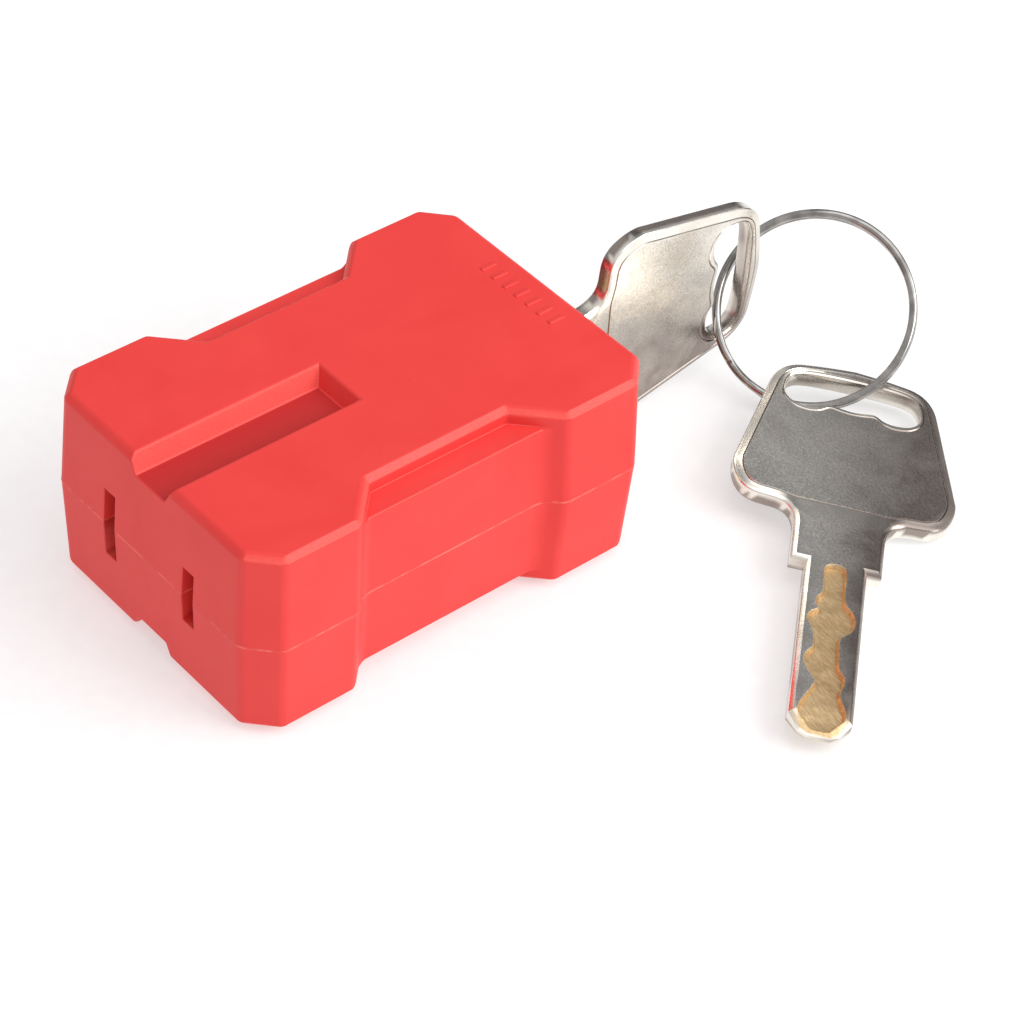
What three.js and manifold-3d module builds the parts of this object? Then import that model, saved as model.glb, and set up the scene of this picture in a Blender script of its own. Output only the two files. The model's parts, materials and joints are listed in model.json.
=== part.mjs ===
// Key-operated plug lock: a two-shell plastic block that slips over the blades of an electrical plug.
// Turning the key drives two locking pins outward through the holes in the blades.
// Millimetres, +Z up. The origin is the centre of the block's base and +X runs along the lock axis
// towards the key. Everything inside is drawn about the lock axis, which is at half the block's height.
import * as THREE from 'three';
import { mergeVertices } from 'three/addons/utils/BufferGeometryUtils.js';
import Module from 'manifold-3d';

const wasm = await Module();
wasm.setup();

// ---------------------------------------------------------------- driving dimensions
const LENGTH = 50;                 // block along X, at the parting plane
const WIDTH = 35.2;                // block along Y, at the parting plane
const HALF_HEIGHT = 11.25;         // parting plane to base, and to top
const DRAFT = 0.0407;              // inward lean of every side wall, mm per mm
const EDGE_BEVEL = 0.65;           // round the top and bottom outlines
const CORNER_X = 3.0;              // corner chamfer in plan
const CORNER_Y = 3.1;
const WAIST_HALF = 13;             // the waist runs from -13 to +13 along X
const WAIST_DEPTH = 1.65;          // side wall of the waist
const LEDGE_DEPTH = 4.45;          // deeper step next to the top and bottom faces
const LEDGE_Z = 9.44;              // height of that step's ledge above the parting plane

const GROOVE_LENGTH = 23.4;        // groove that clears a plug's ground pin
const GROOVE_MOUTH = 6.55;
const GROOVE_FLOOR = 4.6;
const GROOVE_DEPTH = 2.0;
const GROOVE_END_SLOPE = 1.2;

const BLADE_SPACING = 12.7;        // standard distance between a plug's two blades
const SLOT_WIDTH = 1.75;
const SLOT_DEPTH = 19.5;
const WIDE_SLOT_HALF = 4.2;        // neutral blade
const NARROW_SLOT_HALF = 3.45;     // line blade
const BLADE_HOLE_FROM_FACE = 11.9; // hole in a standard blade

const PIN_TRAVEL = 2.8;
const PIN_RADIUS = 1.45;
const GAP = 0.3;                   // clearance of pieces that sit inside one another
const RUNNING_GAP = 0.1;           // rotor in its bore

const CYLINDER_RADIUS = 8.5;
const CYLINDER_BACK = 0.2;
const CYLINDER_FRONT = 22.8;
const NOSE_RADIUS = 7.4;
const NOSE_FRONT = 24.4;
const ROTOR_RADIUS = 6;
const ROTOR_FLANGE_RADIUS = 6.6;
const ROTOR_FRONT = 24.0;
const TAIL_RADIUS = 4.4;
const TAIL_BACK = -1.6;

const WAFER_COUNT = 6;
const FIRST_WAFER_X = 5;
const WAFER_PITCH = 2.6;
const WAFER_THICKNESS = 0.8;
const WAFER_SLOT = 1.0;
const WAFER_HALF_WIDTH = 3.5;
const WAFER_HALF_HEIGHT = 4.65;

const KEY_THICKNESS = 2.2;
const KEY_TIP_X = 2.9;             // tip corners of the inserted key on the lock axis
const BLADE_HALF = 3.2;
const STEP_X = 21.3;               // key dimensions along the key, from the tip corners
const NECK_HALF = 4.75;
const SHOULDER_X = 30;
const BOW_HALF = 11.9;
const BOW_END_X = 52.3;
const BOW_SLOT = { near: 45.4, far: 50.0, half: 7.5, corner: 1.3 };
const TRACK_HALF = 1.05;
const TRACK_DEPTH = 0.5;
const TRACK_END_X = 20.4;

const RING_RADIUS = 10.6;          // centre line of the wire
const RING_CENTRE = [57.6, -7.43, -3.33];
const RING_HEADING = 31.5;         // degrees, heading and dip of the ring's axis
const RING_DIP = 48.8;
const WIRE_RADIAL = 1.0;
const WIRE_AXIAL = 0.74;
const WIRE_PITCH = 0.82;
const WIRE_END_ANGLE = 192;        // where the wire ends, round the ring
const WIRE_STEP_ANGLE = 24;        // stretch in which one turn steps over to the next

const SPARE_KEY_TIP = [19.6, -48.4, -9.65];
const SPARE_KEY_TURN = { heading: 41.7, pitch: -0.6, roll: 6.87 };   // degrees

// ---------------------------------------------------------------- materials
const finish = (color, roughness, metalness) =>
  new THREE.MeshStandardMaterial({ color, roughness, metalness });
const redPlastic = () => finish(0xe5342f, 0.55, 0);
const zinc = () => finish(0x9a9ca0, 0.45, 1);
const steel = () => finish(0xb9bcc0, 0.3, 1);
const brass = () => finish(0xc2a14d, 0.35, 1);
const nickel = () => finish(0xc9c4b8, 0.28, 1);

// ---------------------------------------------------------------- solids
const radians = THREE.MathUtils.degToRad;

// Turns a closed three.js geometry into a manifold solid with its faces pointing out.
function solid(geometry) {
  const bare = new THREE.BufferGeometry();
  bare.setAttribute('position', geometry.getAttribute('position').clone());
  if (geometry.index) bare.setIndex(geometry.index.clone());
  const merged = mergeVertices(bare, 1e-4);
  const position = merged.getAttribute('position').array;
  const faces = [];
  let volume = 0;
  const corner = (i) => new THREE.Vector3().fromArray(position, 3 * i);
  for (let i = 0; i < merged.index.count; i += 3) {
    const [a, b, c] = [0, 1, 2].map((k) => merged.index.getX(i + k));
    if (a === b || b === c || c === a) continue;
    faces.push([a, b, c]);
    volume += corner(a).dot(corner(b).cross(corner(c)));
  }
  const order = volume < 0 ? faces.map(([a, b, c]) => [a, c, b]) : faces;
  return new wasm.Manifold(new wasm.Mesh({
    numProp: 3,
    vertProperties: new Float32Array(position),
    triVerts: new Uint32Array(order.flat()),
  }));
}

const join = (...pieces) => pieces.reduce((whole, piece) => whole.add(piece));
const cut = (whole, ...tools) => tools.reduce((rest, tool) => rest.subtract(tool), whole);

// A named mesh made from a solid.
function part(name, shape, material) {
  const mesh = shape.getMesh();
  const geometry = new THREE.BufferGeometry();
  geometry.setAttribute('position', new THREE.BufferAttribute(Float32Array.from(mesh.vertProperties), 3));
  geometry.setIndex(new THREE.BufferAttribute(Uint32Array.from(mesh.triVerts), 1));
  geometry.computeVertexNormals();
  const object = new THREE.Mesh(geometry, material);
  object.name = name;
  return object;
}

function box(x0, x1, y0, y1, z0, z1) {
  const geometry = new THREE.BoxGeometry(x1 - x0, y1 - y0, z1 - z0);
  geometry.translate((x0 + x1) / 2, (y0 + y1) / 2, (z0 + z1) / 2);
  return solid(geometry);
}

// A round bar along X, Y or Z from one end to the other, through (p, q) on the other two axes.
function bar(axis, radius, from, to, p = 0, q = 0, sides = 24) {
  const geometry = new THREE.CylinderGeometry(radius, radius, to - from, sides);
  geometry.translate(0, (from + to) / 2, 0);
  if (axis === 'x') {
    geometry.rotateZ(-Math.PI / 2);
    geometry.translate(0, p, q);
  } else if (axis === 'y') {
    geometry.translate(p, 0, q);
  } else {
    geometry.rotateX(Math.PI / 2);
    geometry.translate(p, q, 0);
  }
  return solid(geometry);
}

// An outline in plan extruded from z0 to z1; bevel rounds both end outlines without growing the shape.
function prism(points, z0, z1, bevel = 0) {
  const shape = new THREE.Shape(points.map(([x, y]) => new THREE.Vector2(x, y)));
  const geometry = new THREE.ExtrudeGeometry(shape, {
    depth: z1 - z0 - 2 * bevel,
    bevelEnabled: bevel > 0,
    bevelThickness: bevel,
    bevelSize: bevel,
    bevelOffset: -bevel,
    bevelSegments: 1,
  });
  geometry.translate(0, 0, z0 + bevel);
  return solid(geometry);
}

// A wire swept along a path, with an oval section of eight sides.
function wire(path, steps, across, along, sides = 8) {
  const section = new THREE.Shape();
  for (let i = 0; i < sides; i += 1) {
    const angle = (i + 0.5) * 2 * Math.PI / sides;
    const [x, y] = [across / 2 * Math.cos(angle), along / 2 * Math.sin(angle)];
    if (i === 0) section.moveTo(x, y);
    else section.lineTo(x, y);
  }
  return solid(new THREE.ExtrudeGeometry(section, { steps, extrudePath: path, bevelEnabled: false }));
}

const COIL_STEPS = 9;              // facets in one turn of a spring, and round its wire
const COIL_SIDES = 5;

class Helix extends THREE.Curve {
  constructor(radius, turns, height) {
    super();
    Object.assign(this, { radius, turns, height });
  }

  getPoint(t, target = new THREE.Vector3()) {
    const angle = 2 * Math.PI * this.turns * t;
    return target.set(this.radius * Math.cos(angle), this.radius * Math.sin(angle), this.height * t);
  }
}

// A small compression spring standing along Z.
function spring(radius, wireSize, z0, z1, turns, x, y) {
  const helix = new Helix(radius, turns, z1 - z0 - wireSize);
  const coil = wire(helix, Math.round(turns * COIL_STEPS), wireSize, wireSize, COIL_SIDES);
  return coil.translate([x, y, z0 + wireSize / 2]);
}

// ---------------------------------------------------------------- shells
// Plan outline of the block with the waist sunk by depth on both long sides.
function blockOutline(depth) {
  const [hx, hy, w] = [LENGTH / 2, WIDTH / 2, WAIST_HALF];
  const quarter = [[w - depth, hy - depth], [w, hy], [hx - CORNER_X, hy], [hx, hy - CORNER_Y]];
  const right = [...quarter.map(([x, y]) => [x, -y]), ...quarter.toReversed()];
  return [...right, ...right.map(([x, y]) => [-x, -y])];
}

// Leans the side walls inward with height above and below the parting plane.
function drafted(shape) {
  return shape.warp((v) => {
    const inset = DRAFT * Math.abs(v[2]);
    v[0] *= 1 - inset / (LENGTH / 2);
    v[1] *= 1 - inset / (WIDTH / 2);
  });
}

const draftedHalf = (outline, z1, bevel) => drafted(
  cut(prism(outline, -z1, z1, bevel), box(-LENGTH, LENGTH, -WIDTH, WIDTH, -2 * z1, 0)));

// Tapered groove in the top face: it opens at the slot face and its walls slope to a narrower floor.
function groundPinGroove() {
  const start = -LENGTH / 2 - 1;
  const end = -LENGTH / 2 + GROOVE_LENGTH;
  const floor = HALF_HEIGHT - GROOVE_DEPTH;
  const rise = 1;
  const spread = (GROOVE_MOUTH - GROOVE_FLOOR) / 2 * (1 + rise / GROOVE_DEPTH);
  const groove = box(start, end, -GROOVE_FLOOR / 2, GROOVE_FLOOR / 2, floor, HALF_HEIGHT + rise);
  const height = GROOVE_DEPTH + rise;
  return groove.warp((v) => {
    const share = (v[2] - floor) / height;
    v[1] += Math.sign(v[1]) * spread * share;
    if (v[0] > start + 1) v[0] -= GROOVE_END_SLOPE * (1 - share);
  });
}

function bladeChannels() {
  const x0 = -LENGTH / 2 - 1;
  const x1 = -LENGTH / 2 + SLOT_DEPTH;
  return [[1, WIDE_SLOT_HALF], [-1, NARROW_SLOT_HALF]].map(([side, half]) => {
    const y = side * BLADE_SPACING / 2;
    return box(x0, x1, y - SLOT_WIDTH / 2, y + SLOT_WIDTH / 2, -half, half);
  });
}

const PIN_X = -LENGTH / 2 + BLADE_HOLE_FROM_FACE;
const CHAMBER_HALF = (BLADE_SPACING - SLOT_WIDTH) / 2;
const CHAMBER_BACK = -LENGTH / 2 + SLOT_DEPTH;
const ARM_HALF_HEIGHT = 2.2;
const ARM_TIP_X = PIN_X - 1.9;
const FORK_FRONT = -3.5;
const FORK_BACK = -5.2;
const FORK_HALF_HEIGHT = 4.2;
const LUG = { x0: 4, x1: 18, y: 10, z: 2 };
const DISC = { x0: -3.2, x1: -1.9, radius: 4.1 };
const CLIP = { x0: -0.7, x1: -0.2, neck: 3.4, outer: 5.6 };
const PIN_TIP_Y = 5.2;

// Space for the mechanism, cut from both shells.
function mechanismSpace() {
  const cradle = bar('x', CYLINDER_RADIUS + GAP, CYLINDER_BACK - GAP, CYLINDER_FRONT + GAP, 0, 0, 48);
  const noseHole = bar('x', NOSE_RADIUS + RUNNING_GAP, CYLINDER_FRONT, LENGTH / 2 + 1, 0, 0, 48);
  const clipSpace = bar('x', CLIP.outer + 2 * GAP, CLIP.x0 - 0.5, CYLINDER_BACK, 0, 0, 36);
  const discSpace = bar('x', DISC.radius + 0.5, FORK_FRONT, CLIP.x0 - 0.4, 0, 0, 36);
  const forkSpace = box(CHAMBER_BACK - 0.5, FORK_FRONT + GAP, -CHAMBER_HALF, CHAMBER_HALF,
    -FORK_HALF_HEIGHT - GAP, FORK_HALF_HEIGHT + GAP);
  const armSpace = box(ARM_TIP_X - 0.5, CHAMBER_BACK, -CHAMBER_HALF, CHAMBER_HALF,
    -ARM_HALF_HEIGHT - 0.2, ARM_HALF_HEIGHT + 0.2);
  const pinReach = PIN_TIP_Y + PIN_TRAVEL + 0.4;
  const pinPockets = bar('y', PIN_RADIUS + 0.2, -pinReach, pinReach, PIN_X, 0);
  const lugSpace = box(LUG.x0 - GAP, LUG.x1 + GAP, -LUG.y - GAP, LUG.y + GAP, -LUG.z - GAP, LUG.z + GAP);
  return join(cradle, noseHole, clipSpace, discSpace, forkSpace, armSpace, pinPockets, lugSpace);
}

const SIDE_POCKET = { x: 10.5, inner: 11, outer: 14.2, z: 7.6 };
const FRONT_POCKET = { x0: -22.6, x1: -17.2, y: 3.6, z: 6.2 };

// Cored-out pockets that keep the plastic walls thin.
function coringPockets() {
  const side = SIDE_POCKET;
  const front = FRONT_POCKET;
  return [
    box(-side.x, side.x, side.inner, side.outer, -side.z, side.z),
    box(-side.x, side.x, -side.outer, -side.inner, -side.z, side.z),
    box(front.x0, front.x1, -front.y, front.y, -front.z, front.z),
  ];
}

const PEG_PLACES = [[-19.5, 12.4], [-19.5, -12.4], [20, 12.6], [20, -12.6]];
const PEG_RADIUS = 1.1;
const PEG_LENGTH = 3;

function upperShape() {
  const body = draftedHalf(blockOutline(WAIST_DEPTH), HALF_HEIGHT, EDGE_BEVEL);
  const topPlate = draftedHalf(blockOutline(LEDGE_DEPTH), HALF_HEIGHT, EDGE_BEVEL);
  const abovePlane = box(-LENGTH, LENGTH, -WIDTH, WIDTH, LEDGE_Z, 2 * HALF_HEIGHT);
  return join(cut(body, abovePlane), topPlate);
}

function shells() {
  const hollows = [groundPinGroove(), ...bladeChannels(), mechanismSpace(), ...coringPockets()];
  const upper = cut(upperShape(), ...hollows);
  const lowerGroove = groundPinGroove().mirror([0, 0, 1]);
  const lower = cut(upperShape().mirror([0, 0, 1]), lowerGroove, ...hollows.slice(1));
  const pegs = PEG_PLACES.map(([x, y]) => bar('z', PEG_RADIUS, -PEG_LENGTH, 1, x, y, 16));
  const sockets = PEG_PLACES.map(([x, y]) => bar('z', PEG_RADIUS + GAP, -PEG_LENGTH - GAP, 1, x, y, 16));
  return [
    part('upper_shell', join(upper, ...pegs), redPlastic()),
    part('lower_shell', cut(lower, ...sockets), redPlastic()),
  ];
}

// ---------------------------------------------------------------- cylinder and rotor
const ANTI_DRILL_PLACES = [45, 135, 225, 315];
const ANTI_DRILL = { orbit: 7.35, radius: 0.45, x0: 15, x1: 22.5 };

function antiDrillBars(radius, x0, x1) {
  return ANTI_DRILL_PLACES.map((degrees) => {
    const angle = radians(degrees);
    const y = ANTI_DRILL.orbit * Math.cos(angle);
    const z = ANTI_DRILL.orbit * Math.sin(angle);
    return bar('x', radius, x0, x1, y, z, 10);
  });
}

const SIDEBAR = { x0: 4.3, x1: 18.7, half: 0.55, inner: 4.05, outer: 5.85 };

function cylinderBody() {
  const barrel = bar('x', CYLINDER_RADIUS, CYLINDER_BACK, CYLINDER_FRONT, 0, 0, 48);
  const nose = bar('x', NOSE_RADIUS, CYLINDER_FRONT - 1, NOSE_FRONT, 0, 0, 48);
  const lugs = box(LUG.x0, LUG.x1, -LUG.y, LUG.y, -LUG.z, LUG.z);
  const bore = bar('x', ROTOR_RADIUS + RUNNING_GAP, CYLINDER_BACK - 1, NOSE_FRONT + 1, 0, 0, 48);
  const flangeSeat = bar('x', ROTOR_FLANGE_RADIUS + RUNNING_GAP, 22.4, NOSE_FRONT + 1, 0, 0, 48);
  const sidebarGroove = box(SIDEBAR.x0 - 0.4, SIDEBAR.x1 + 0.4, 5.5, 7.0, -0.85, 0.85);
  const drillHoles = antiDrillBars(ANTI_DRILL.radius + 0.2, ANTI_DRILL.x0 - GAP, CYLINDER_FRONT + 0.1);
  return cut(join(barrel, nose, lugs), bore, flangeSeat, sidebarGroove, ...drillHoles);
}

const waferX = (i) => FIRST_WAFER_X + i * WAFER_PITCH;
const wafers = Array.from({ length: WAFER_COUNT }, (_, i) => i);
const WING = { inner: -WAFER_HALF_WIDTH + 0.5, outer: -4.9, z0: 0.3, z1: 1.0 };
const SPRING_WELL = { y: -4.55, radius: 0.62, z0: -2.6 };
const SIDEBAR_SPRINGS_X = [waferX(0) + WAFER_PITCH / 2, waferX(4) + WAFER_PITCH / 2];
const KEYWAY = { half: KEY_THICKNESS / 2 + 0.12, height: BLADE_HALF + 0.15 };
const TANG = { half: 1.1, height: 3.0, x: -2.9 };

function rotor() {
  const barrel = bar('x', ROTOR_RADIUS, CYLINDER_BACK, ROTOR_FRONT - 0.1, 0, 0, 48);
  const flange = bar('x', ROTOR_FLANGE_RADIUS, 22.6, ROTOR_FRONT, 0, 0, 48);
  const tail = bar('x', TAIL_RADIUS, TAIL_BACK, CYLINDER_BACK + 0.5, 0, 0, 32);
  const tang = box(TANG.x, TAIL_BACK + 0.5, -TANG.half, TANG.half, -TANG.height, TANG.height);
  const clipGroove = cut(bar('x', TAIL_RADIUS + 1, CLIP.x0 - 0.1, CLIP.x1 + 0.1, 0, 0, 32),
    bar('x', CLIP.neck, -2, 2, 0, 0, 32));
  const keyway = box(0.05, ROTOR_FRONT + 1, -KEYWAY.half, KEYWAY.half, -KEYWAY.height, KEYWAY.height);
  const waferSlots = wafers.map((i) => {
    const x = waferX(i);
    const [x0, x1] = [x - WAFER_SLOT / 2, x + WAFER_SLOT / 2];
    const slotHalf = WAFER_HALF_WIDTH + 0.2;
    const slot = box(x0, x1, -slotHalf, slotHalf, -ROTOR_RADIUS - 1, ROTOR_RADIUS + 1);
    const wing = box(x0, x1, WING.outer - 0.25, WING.inner, WING.z0 - 0.6, WING.z1 + 0.7);
    const well = bar('z', SPRING_WELL.radius, SPRING_WELL.z0, 0.5, x, SPRING_WELL.y, 12);
    return join(slot, wing, well);
  });
  const sidebarSlot = box(SIDEBAR.x0 - 0.2, SIDEBAR.x1 + 0.2, SIDEBAR.inner - 0.2, 7,
    -SIDEBAR.half - 0.15, SIDEBAR.half + 0.15);
  const springHoles = SIDEBAR_SPRINGS_X.map((x) => bar('y', 0.6, 1.9, SIDEBAR.inner, x, 0, 12));
  const hollows = [clipGroove, keyway, ...waferSlots, sidebarSlot, ...springHoles];
  return cut(join(barrel, flange, tail, tang), ...hollows);
}

// Flat tumbler with a window for the key, a nub that follows the key's track and a spring wing.
function wafer(i) {
  const x = waferX(i);
  const [x0, x1] = [x - WAFER_THICKNESS / 2, x + WAFER_THICKNESS / 2];
  const plate = box(x0, x1, -WAFER_HALF_WIDTH, WAFER_HALF_WIDTH, -WAFER_HALF_HEIGHT, WAFER_HALF_HEIGHT);
  const [windowY, windowZ] = [KEYWAY.half + 0.25, BLADE_HALF + 0.5];
  const window = box(x0 - 1, x1 + 1, -windowY, windowY, -windowZ, windowZ);
  const nub = box(x0, x1, 0.85, KEYWAY.half + 0.5, -0.6, 0.6);
  const wing = box(x0, x1, WING.outer, WING.inner, WING.z0, WING.z1);
  const notch = box(x0 - 1, x1 + 1, WAFER_HALF_WIDTH - 0.5, WAFER_HALF_WIDTH + 1, -0.7, 0.7);
  return part(`wafer_${i + 1}`, cut(join(cut(plate, window), nub, wing), notch), brass());
}

const waferSpring = (i) => part(`wafer_spring_${i + 1}`,
  spring(0.36, 0.2, -2.4, 0.15, 3, waferX(i), SPRING_WELL.y), steel());

// Locking bar along the rotor with a tooth towards each wafer's notch.
function sidebar() {
  return box(SIDEBAR.x0, SIDEBAR.x1, SIDEBAR.inner, SIDEBAR.outer, -SIDEBAR.half, SIDEBAR.half);
}

const sidebarSpring = (x, i) => part(`sidebar_spring_${i + 1}`,
  spring(0.36, 0.2, 2.05, SIDEBAR.inner - 0.1, 3, 0, 0).rotate([-90, 0, 0]).translate([x, 0, 0]), steel());

// ---------------------------------------------------------------- crank, clip, dogs and locking pins
const CRANK_PIN_RADIUS = 0.8;
const CRANK_SWING = PIN_TRAVEL / 2;   // both offsets of a crank pin at each end of its swing

function crankDisc() {
  const disc = bar('x', DISC.radius, DISC.x0, DISC.x1, 0, 0, 32);
  const tangSlot = box(DISC.x0 + 0.25, DISC.x1 + 1, -TANG.half - GAP / 2, TANG.half + GAP / 2,
    -TANG.height - GAP / 2, TANG.height + GAP / 2);
  const pins = [-1, 1].map((side) => bar('x', CRANK_PIN_RADIUS, FORK_BACK, DISC.x0 + 0.2,
    side * CRANK_SWING, side * CRANK_SWING, 16));
  return join(cut(disc, tangSlot), ...pins);
}

function retainingClip() {
  const opening = CLIP.neck + 0.15;
  const disc = bar('x', CLIP.outer, CLIP.x0, CLIP.x1, 0, 0, 32);
  const hole = bar('x', opening, CLIP.x0 - 1, CLIP.x1 + 1, 0, 0, 32);
  const mouth = box(CLIP.x0 - 1, CLIP.x1 + 1, -0.75 * opening, 0.75 * opening, 0, CLIP.outer + 1);
  return cut(disc, hole, mouth);
}

const FORK = { inner: 0.4, outer: 3.2, low: 0.25, high: FORK_HALF_HEIGHT };
const ARM = { inner: 0.4, outer: 2.4 };

// Sliding dog for the +Y blade. The -Y dog is this one turned half a turn about the lock axis.
function leftDog() {
  const fork = box(FORK_BACK, FORK_FRONT, -FORK.outer, FORK.inner, -FORK.high, -FORK.low);
  const slotHalf = CRANK_PIN_RADIUS + 0.1;
  const forkSlot = box(FORK_BACK - 1, FORK_FRONT + 1,
    -CRANK_SWING - slotHalf, -CRANK_SWING + slotHalf, -FORK.high + 1, -FORK.low + 1);
  const bridge = box(CHAMBER_BACK - 0.2, FORK_FRONT, ARM.inner - 0.3, ARM.outer, -FORK.high, -FORK.low);
  const arm = box(ARM_TIP_X, CHAMBER_BACK, ARM.inner, ARM.outer, -ARM_HALF_HEIGHT, ARM_HALF_HEIGHT);
  const pinHole = bar('y', 1.0, ARM.inner - 1, ARM.outer + 1, PIN_X, 0, 20);
  return cut(join(cut(fork, forkSlot), bridge, arm), pinHole);
}

function lockingPin() {
  const body = bar('y', PIN_RADIUS, ARM.outer, PIN_TIP_Y - 0.3, PIN_X, 0, 24);
  const point = bar('y', PIN_RADIUS - 0.3, PIN_TIP_Y - 0.4, PIN_TIP_Y, PIN_X, 0, 24);
  const tenon = bar('y', 0.7, ARM.inner, ARM.outer + 0.1, PIN_X, 0, 16);
  return join(body, point, tenon);
}

const turnedOver = (shape) => shape.rotate([180, 0, 0]);

// ---------------------------------------------------------------- keys and ring
// Half of the key's outline from the middle of the tip to the middle of the bow's end.
function keyHalfOutline() {
  const path = new THREE.Path();
  path.moveTo(-2.2, 0);
  path.lineTo(-2.2, 1.3);
  path.lineTo(-1.7, 2.1);
  path.lineTo(0, BLADE_HALF);
  path.lineTo(STEP_X, BLADE_HALF);
  path.lineTo(STEP_X, NECK_HALF);
  path.lineTo(SHOULDER_X - 3, NECK_HALF);
  path.quadraticCurveTo(SHOULDER_X - 0.4, NECK_HALF + 0.3, SHOULDER_X, NECK_HALF + 2.2);
  path.lineTo(SHOULDER_X, 8.4);
  path.quadraticCurveTo(SHOULDER_X + 0.4, BOW_HALF - 0.5, SHOULDER_X + 4.3, BOW_HALF);
  path.quadraticCurveTo(SHOULDER_X + 5.6, BOW_HALF, SHOULDER_X + 6.4, BOW_HALF - 0.1);
  path.lineTo(BOW_END_X - 3, 8.9);
  path.quadraticCurveTo(BOW_END_X - 0.4, 8.2, BOW_END_X - 0.2, 5.6);
  path.lineTo(BOW_END_X, 0);
  return path.getPoints(5).map((p) => [p.x, p.y]);
}

// Key blank along +X with its width along Y, milled on both faces with a track for the wafers.
function keyShape() {
  const half = keyHalfOutline();
  const outline = [...half.map(([x, y]) => [x, -y]), ...half.slice(1, -1).toReversed()];
  const blank = prism(outline, -KEY_THICKNESS / 2, KEY_THICKNESS / 2, 0.18);
  const { near, far, half: slotHalf, corner } = BOW_SLOT;
  const slot = new THREE.Path();
  slot.absarc(near + corner, -slotHalf + corner, corner, -Math.PI, -Math.PI / 2);
  slot.absarc(far - corner, -slotHalf + corner, corner, -Math.PI / 2, 0);
  slot.absarc(far - corner, slotHalf - corner, corner, 0, Math.PI / 2);
  slot.absarc(near + corner, slotHalf - corner, corner, Math.PI / 2, Math.PI);
  const slotCut = prism(slot.getPoints(4).map((p) => [p.x, p.y]), -KEY_THICKNESS, KEY_THICKNESS);
  const tracks = [-1, 1].map((face) => {
    const z = face * KEY_THICKNESS / 2;
    const [z0, z1] = [z - TRACK_DEPTH, z + TRACK_DEPTH];
    const roundEndX = TRACK_END_X - TRACK_HALF;
    const lane = box(-BLADE_HALF - 1, roundEndX, -TRACK_HALF, TRACK_HALF, z0, z1);
    return join(lane, bar('z', TRACK_HALF, z0, z1, roundEndX, 0, 20));
  });
  return cut(blank, slotCut, ...tracks);
}

// Two flat turns of wire joined by a short step, as on a split key ring.
class SplitRingPath extends THREE.Curve {
  getPoint(t, target = new THREE.Vector3()) {
    const step = radians(WIRE_STEP_ANGLE);
    const travel = t * (4 * Math.PI - step);
    const share = THREE.MathUtils.smoothstep(travel, 2 * Math.PI - step, 2 * Math.PI);
    const angle = radians(WIRE_END_ANGLE) + travel;
    target.set(RING_RADIUS * Math.cos(angle), RING_RADIUS * Math.sin(angle), (share - 0.5) * WIRE_PITCH);
    return target;
  }
}

function splitRing() {
  const ring = part('split_ring', wire(new SplitRingPath(), 96, WIRE_AXIAL, WIRE_RADIAL), steel());
  const axis = new THREE.Vector3(
    Math.cos(radians(RING_DIP)) * Math.cos(radians(RING_HEADING)),
    Math.cos(radians(RING_DIP)) * Math.sin(radians(RING_HEADING)),
    -Math.sin(radians(RING_DIP)));
  ring.quaternion.setFromUnitVectors(new THREE.Vector3(0, 0, -1), axis);
  ring.position.set(...RING_CENTRE);
  return ring;
}

function spareKey() {
  const key = part('spare_key', keyShape(), nickel());
  const { heading, pitch, roll } = SPARE_KEY_TURN;
  key.rotation.set(radians(roll), radians(pitch), radians(heading), 'ZYX');
  key.position.set(...SPARE_KEY_TIP);
  return key;
}

// ---------------------------------------------------------------- assembly
const plugLock = new THREE.Group();
plugLock.position.z = HALF_HEIGHT;
plugLock.add(
  ...shells(),
  part('cylinder_body', cylinderBody(), zinc()),
  ...antiDrillBars(ANTI_DRILL.radius, ANTI_DRILL.x0, ANTI_DRILL.x1)
    .map((pin, i) => part(`anti_drill_pin_${i + 1}`, pin, steel())),
  part('rotor', rotor(), brass()),
  ...wafers.map(wafer),
  ...wafers.map(waferSpring),
  part('sidebar', sidebar(), brass()),
  ...SIDEBAR_SPRINGS_X.map(sidebarSpring),
  part('crank_disc', crankDisc(), zinc()),
  part('retaining_clip', retainingClip(), steel()),
  part('left_locking_dog', leftDog(), zinc()),
  part('right_locking_dog', turnedOver(leftDog()), zinc()),
  part('left_locking_pin', lockingPin(), steel()),
  part('right_locking_pin', turnedOver(lockingPin()), steel()),
  part('key_in_lock', keyShape().rotate([90, 0, 0]).translate([KEY_TIP_X, 0, 0]), nickel()),
  splitRing(),
  spareKey(),
);

const model = new THREE.Group();
model.add(plugLock);

export default model;
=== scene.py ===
"""Looks of the plug lock: moulded shells, cast keys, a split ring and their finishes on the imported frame.

Lengths in the tables and outlines below are in millimetres and become metres when a mesh is made.
The row frame has its origin at the centre of the block's base, +X along the lock axis and +Z up.
"""

import json
import math

import bmesh
import bpy
from mathutils import Matrix, Vector, geometry


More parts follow.
